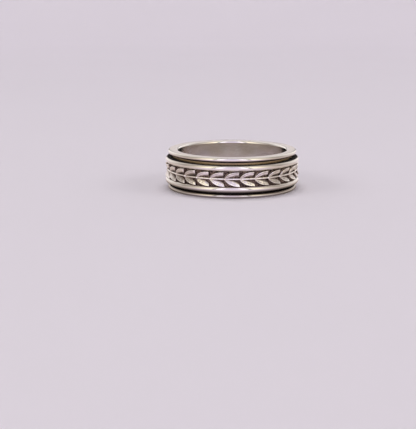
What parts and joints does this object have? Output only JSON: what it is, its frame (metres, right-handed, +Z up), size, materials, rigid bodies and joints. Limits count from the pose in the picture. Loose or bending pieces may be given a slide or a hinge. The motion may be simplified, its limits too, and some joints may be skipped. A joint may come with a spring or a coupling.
{
  "type": "spinner ring",
  "caption": "Silver finger ring whose outer band, with a raised leaf branch between two plain rails, spins freely between the rims of the inner band.",
  "frame": {"origin": "centre of the lower rim's flat face, on the surface that the ring lies on", "axes": "+Z up along the finger hole's axis; the leaves point anticlockwise seen from above"},
  "size_m": [0.0224, 0.0224, 0.0065],
  "materials": {
    "polished_silver": "polished silver, worn, with a light warm tarnish in the channel",
    "oxidised_silver": "polished silver on the raised parts, blackened in the recesses"
  },
  "bodies": {
    "base": {"base_band": "polished_silver"},
    "spinner": {"spinner_band": "oxidised_silver"}
  },
  "joints": [
    {"name": "spinner_spin", "type": "hinge", "parent": "base", "child": "spinner", "pos_m": [0, 0, 0.00319], "axis": [0, 0, 1], "continuous": true}
  ]
}
